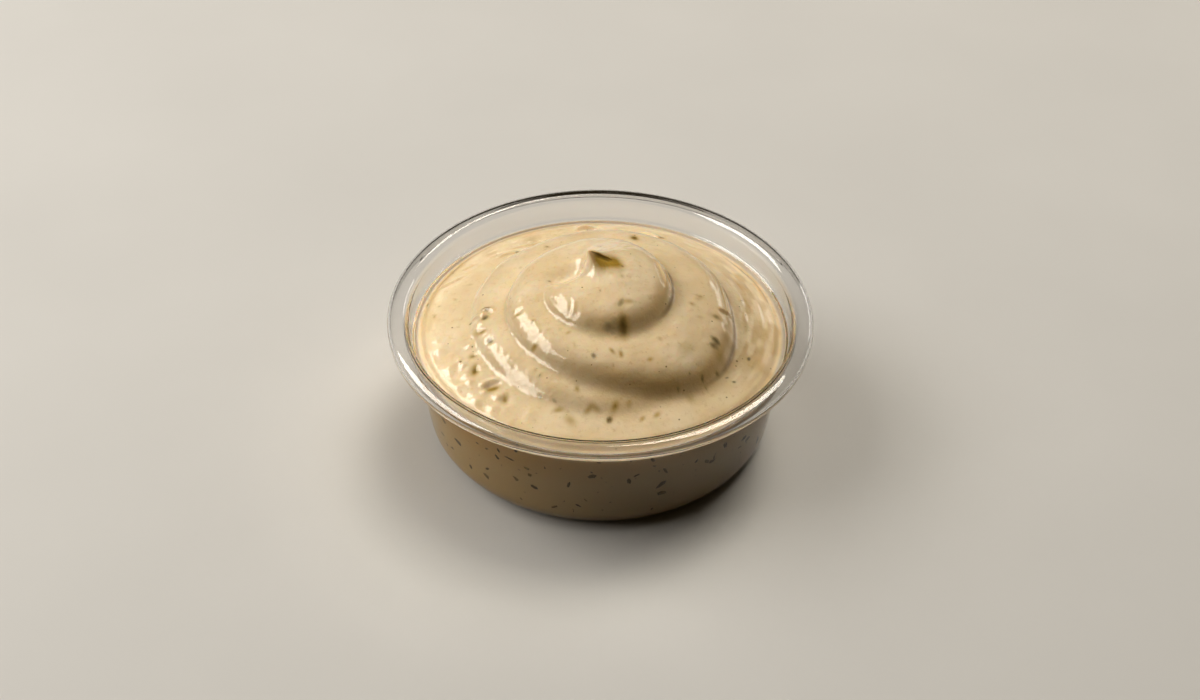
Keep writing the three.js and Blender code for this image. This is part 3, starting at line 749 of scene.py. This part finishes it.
def chips(name, places, axes, sizes, rows, columns, unevenness, random):
    """Rounded chips: for each, a grid of x = cos b cos a, y = cos b sin a, z = sin b, scaled by its
    three half sizes and by random lumpiness, laid along its axes at its place. All are one mesh."""
    a = np.linspace(0, 2 * np.pi, columns, endpoint=False)
    b = np.linspace(-np.pi / 2, np.pi / 2, rows + 2)[1:-1, None]
    ball = np.stack([np.cos(b) * np.cos(a), np.cos(b) * np.sin(a), np.sin(b) + 0 * a], axis=-1).reshape(-1, 3)
    ball = np.concatenate([ball, [[0, 0, -1], [0, 0, 1]]])
    count, corners = len(places), len(ball)
    lumpy = 1 + unevenness * random.uniform(-1, 1, (count, corners, 1))
    points = np.einsum("nvk,nkj->nvj", ball * sizes[:, None, :] * lumpy, axes) + places[:, None, :]
    here = np.arange(rows * columns).reshape(rows, columns)
    beside = np.roll(here, -1, axis=1)
    quads = np.stack([here[:-1], beside[:-1], beside[1:], here[1:]], axis=-1).reshape(-1, 4)
    low = np.stack([beside[0], here[0], np.full(columns, corners - 2)], axis=-1)
    high = np.stack([here[-1], beside[-1], np.full(columns, corners - 1)], axis=-1)
    shift = np.arange(count)[:, None] * corners
    all_quads = (quads.ravel() + shift).reshape(-1, 4)
    all_fans = (np.concatenate([low, high]).ravel() + shift).reshape(-1, 3)
    mesh = bpy.data.meshes.new(name)
    mesh.from_pydata((points.reshape(-1, 3) * MM).tolist(), [], all_quads.tolist() + all_fans.tolist())
    mesh.shade_smooth()
    piece = bpy.data.objects.new(name, mesh)
    bpy.context.scene.collection.objects.link(piece)
    spread_on(piece, "tone", np.repeat(random.uniform(0, 1, count), corners))
    return piece


random = np.random.default_rng(23)
is_chip = (BITS[:, 3] > CHIP_LEAST_DARKNESS) & (BITS[:, 2] > CHIP_LEAST_SIZE)
bit_x, bit_y, bit_size = BITS[is_chip, :3].T
bit_axes = surface_axes(bit_x, bit_y, random.uniform(0, np.pi, len(bit_x)))
bit_places = np.stack([bit_x, bit_y, sauce_height(bit_x, bit_y)], axis=-1)
bit_places -= bit_axes[:, 2] * (CHIP_SINK * bit_size)[:, None]
bit_sizes = CHIP_SHARE * bit_size[:, None] * np.array([1, CHIP_NARROWNESS, CHIP_FLATNESS])
bits = chips(
    "jalapeno_bits", bit_places, bit_axes, bit_sizes, CHIP_ROWS, CHIP_COLUMNS, CHIP_LUMPINESS, random)


def jalapeno():
    """Wet jalapeno, from dark olive skin to paler flesh, with sauce smeared over part of it."""
    n = Nodes("jalapeno")
    green = n.mixed(n.attribute("tone"), (0.12, 0.088, 0.016), (0.24, 0.17, 0.04))
    green = n.mixed(n.ranged(n.noise(0.9, detail=3), 0.4, 0.7, 0, 0.7), green, (0.27, 0.22, 0.13))
    smear = n.ranged(n.noise(0.6, detail=2), 0.44, 0.62, 0, 0.9)
    n.join(n.mixed(smear, green, (0.62, 0.47, 0.27)), n.shader.inputs["Base Color"])
    n.join(n.ranged(n.noise(1.5), 0.3, 0.7, 0.34, 0.52), n.shader.inputs["Roughness"])
    n.shader.inputs["Specular IOR Level"].default_value = 0.35
    n.join(n.bump(n.noise(2.2, detail=4), 0.06), n.shader.inputs["Normal"])
    return n.material


bits.data.materials.append(jalapeno())
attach(bits, "root")


# ---------------------------------------------------------------------------------------------------
# The flecks. Specks of pepper skin and herb from the blender, all through the sauce: the ones at the
# top lie under a film of it, and the ones at the side show dark through the clear wall.
# ---------------------------------------------------------------------------------------------------
TOP_FLECK_COUNT, TOP_FLECK_SIZES = 150, (0.12, 0.36)
TOP_FLECK_REACH, TOP_FLECK_SINK = 31.2, 0.08
TOP_FLECK_NARROWNESS, TOP_FLECK_FLATNESS, TOP_FLECK_LUMPINESS = (0.4, 0.8), 0.25, 0.2
SIDE_FLECK_COUNT, SIDE_FLECK_SIZES = 340, (0.16, 0.95)
SIDE_FLECK_LOWEST, SIDE_FLECK_BELOW_EDGE = 4.5, 0.4
SIDE_FLECK_NARROWNESS, SIDE_FLECK_HALF_DEPTH, SIDE_FLECK_LUMPINESS = (0.22, 0.7), 0.05, 0.45
FLECK_ROWS, FLECK_COLUMNS = 3, 6


def sizes_between(random, low, high, count):
    """Random sizes, most of them small: low + (high - low) t^3."""
    return low + (high - low) * random.uniform(0, 1, count) ** 3


random = np.random.default_rng(41)
fleck_radius = TOP_FLECK_REACH * np.sqrt(random.uniform(0.01, 1, TOP_FLECK_COUNT))
fleck_turn = random.uniform(0, 2 * np.pi, TOP_FLECK_COUNT)
fleck_x, fleck_y = fleck_radius * np.cos(fleck_turn), fleck_radius * np.sin(fleck_turn)
fleck_axes = surface_axes(fleck_x, fleck_y, random.uniform(0, np.pi, TOP_FLECK_COUNT))
fleck_size = sizes_between(random, *TOP_FLECK_SIZES, TOP_FLECK_COUNT)
fleck_places = np.stack([fleck_x, fleck_y, sauce_height(fleck_x, fleck_y)], axis=-1)
fleck_places -= TOP_FLECK_SINK * fleck_axes[:, 2]
fleck_width = fleck_size * random.uniform(*TOP_FLECK_NARROWNESS, TOP_FLECK_COUNT)
fleck_shape = np.stack([fleck_size, fleck_width, TOP_FLECK_FLATNESS * fleck_size], axis=-1)
top_flecks = chips(
    "flecks_on_top", fleck_places, fleck_axes, fleck_shape,
    FLECK_ROWS, FLECK_COLUMNS, TOP_FLECK_LUMPINESS, random)

side_turn = random.uniform(0, 2 * np.pi, SIDE_FLECK_COUNT)
side_top = SAUCE_EDGE_HEIGHT - SIDE_FLECK_BELOW_EDGE
side_height = random.uniform(SIDE_FLECK_LOWEST, side_top, SIDE_FLECK_COUNT)
side_radius = wall(side_height, SHEET - INTO_WALL)[:, 0]
side_x, side_y = side_radius * np.cos(side_turn), side_radius * np.sin(side_turn)
side_places = np.stack([side_x, side_y, side_height], axis=-1)
side_slope = np.full(SIDE_FLECK_COUNT, -WALL_TAPER)
side_out = np.stack([np.cos(side_turn), np.sin(side_turn), side_slope], axis=-1)
side_out /= np.linalg.norm(side_out, axis=-1, keepdims=True)
lean = random.uniform(0, np.pi, SIDE_FLECK_COUNT)
round_wall = np.stack([-np.sin(side_turn), np.cos(side_turn), 0 * side_turn], axis=-1)
up_wall = np.cross(side_out, round_wall)
side_along = round_wall * np.cos(lean)[:, None] + up_wall * np.sin(lean)[:, None]
side_axes = np.stack([side_along, np.cross(side_out, side_along), side_out], axis=-2)
side_size = sizes_between(random, *SIDE_FLECK_SIZES, SIDE_FLECK_COUNT)
side_width = side_size * random.uniform(*SIDE_FLECK_NARROWNESS, SIDE_FLECK_COUNT)
side_depths = np.full(SIDE_FLECK_COUNT, SIDE_FLECK_HALF_DEPTH)
side_shape = np.stack([side_size, side_width, side_depths], axis=-1)
side_flecks = chips(
    "flecks_at_the_side", side_places, side_axes, side_shape,
    FLECK_ROWS, FLECK_COLUMNS, SIDE_FLECK_LUMPINESS, random)


def fleck_skin(name, darkest, palest):
    """Specks of skin and herb, each its own shade between the darkest and the palest."""
    n = Nodes(name)
    tone = n.attribute("tone")
    colour = n.mixed(tone, darkest, palest)
    n.join(n.mixed(n.ranged(n.noise(3.0), 0.4, 0.7, 0, 0.5), colour, darkest), n.shader.inputs["Base Color"])
    n.join(n.ranged(n.noise(2.0), 0.3, 0.7, 0.45, 0.65), n.shader.inputs["Roughness"])
    n.shader.inputs["Specular IOR Level"].default_value = 0.3
    return n.material


film_covered = fleck_skin("film_covered_flecks", darkest=(0.15, 0.10, 0.025), palest=(0.42, 0.29, 0.12))
wet = fleck_skin("wet_flecks", darkest=(0.10, 0.058, 0.004), palest=(0.27, 0.175, 0.03))
top_flecks.data.materials.append(film_covered)
side_flecks.data.materials.append(wet)
for piece in (top_flecks, side_flecks):
    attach(piece, "root")


# ---------------------------------------------------------------------------------------------------
# The setting: a plain pale floor, and three soft lamps. The key is on the left, one above fills in
# without being mirrored, and a faint one is behind on the right. The camera has the photograph's
# angle, 39.5 degrees down, and its slight roll, and the view's gamma gives the photo's contrast.
# ---------------------------------------------------------------------------------------------------
FLOOR_REACH = 3.0
CAMERA_DISTANCE, CAMERA_DOWN, CAMERA_ROLL = 333, math.radians(39.54), math.radians(0.81)
AIM_HEIGHT = 15.0
FRAME_WIDTH, FOCAL_PIXELS, SENSOR_WIDTH = 1200, 1882.6, 36
FLOOR_GREY, FLOOR_MOTTLE = (0.60, 0.59, 0.575), (0.65, 0.64, 0.625)
KEY = {
    "towards": (-0.785, 0.07, 0.616), "distance": 0.75, "size": (0.72, 0.36), "watts": 4.8,
    "tint": (1, 0.98, 0.94)}
ABOVE = {
    "towards": (0.3, 0.42, 0.85), "distance": 0.9, "size": (0.4, 0.4), "watts": 5.8,
    "tint": (1, 0.955, 0.87)}
BACK = {
    "towards": (0.62, 0.72, 0.22), "distance": 0.8, "size": (0.3, 0.12), "watts": 0.3,
    "tint": (1, 0.98, 0.96)}
ROOM_COLOUR = (0.03, 0.021, 0.008, 1)
CONTRAST = 0.8


def floor():
    """A flat sheet under the cup, pale and matt, with the faintest mottling."""
    r = FLOOR_REACH
    mesh = bpy.data.meshes.new("floor")
    mesh.from_pydata([(-r, -r, 0), (r, -r, 0), (r, r, 0), (-r, r, 0)], [], [(0, 1, 2, 3)])
    sheet = bpy.data.objects.new("floor", mesh)
    bpy.context.scene.collection.objects.link(sheet)
    n = Nodes("pale_floor")
    n.join(n.mixed(n.noise(0.02), FLOOR_GREY, FLOOR_MOTTLE), n.shader.inputs["Base Color"])
    n.shader.inputs["Roughness"].default_value = 0.7
    mesh.materials.append(n.material)


def lamp(name, towards, distance, size, watts, tint):
    """A soft lamp of that size in metres. It stands in that direction and shines at the cup."""
    light = bpy.data.lights.new(name, "AREA")
    light.shape = "RECTANGLE"
    light.size, light.size_y = size
    light.energy = watts
    light.color = tint
    holder = bpy.data.objects.new(name, light)
    way = Vector(towards).normalized()
    facing = way.to_track_quat("Z", "Y").to_matrix().to_4x4()
    holder.matrix_world = Matrix.Translation(way * distance) @ facing
    bpy.context.scene.collection.objects.link(holder)
    return holder


floor()
lamp("key_lamp", **KEY)
lamp("above_lamp", **ABOVE).visible_glossy = False
lamp("back_lamp", **BACK)
world = bpy.data.worlds.new("room")
world.use_nodes = True
world.node_tree.nodes["Background"].inputs["Color"].default_value = ROOM_COLOUR
bpy.context.scene.world = world

camera_data = bpy.data.cameras.new("camera")
camera_data.sensor_width = SENSOR_WIDTH
camera_data.lens = FOCAL_PIXELS * SENSOR_WIDTH / FRAME_WIDTH
camera_data.clip_start = 0.01
camera = bpy.data.objects.new("camera", camera_data)
back_off = Vector((0, -math.cos(CAMERA_DOWN), math.sin(CAMERA_DOWN)))
place = Vector((0, 0, AIM_HEIGHT * MM)) + back_off * CAMERA_DISTANCE * MM
turn_down = back_off.to_track_quat("Z", "Y").to_matrix().to_4x4()
camera.matrix_world = Matrix.Translation(place) @ turn_down @ Matrix.Rotation(CAMERA_ROLL, 4, "Z")
bpy.context.scene.collection.objects.link(camera)
bpy.context.scene.camera = camera
bpy.context.scene.view_settings.view_transform = "Standard"
bpy.context.scene.view_settings.gamma = CONTRAST
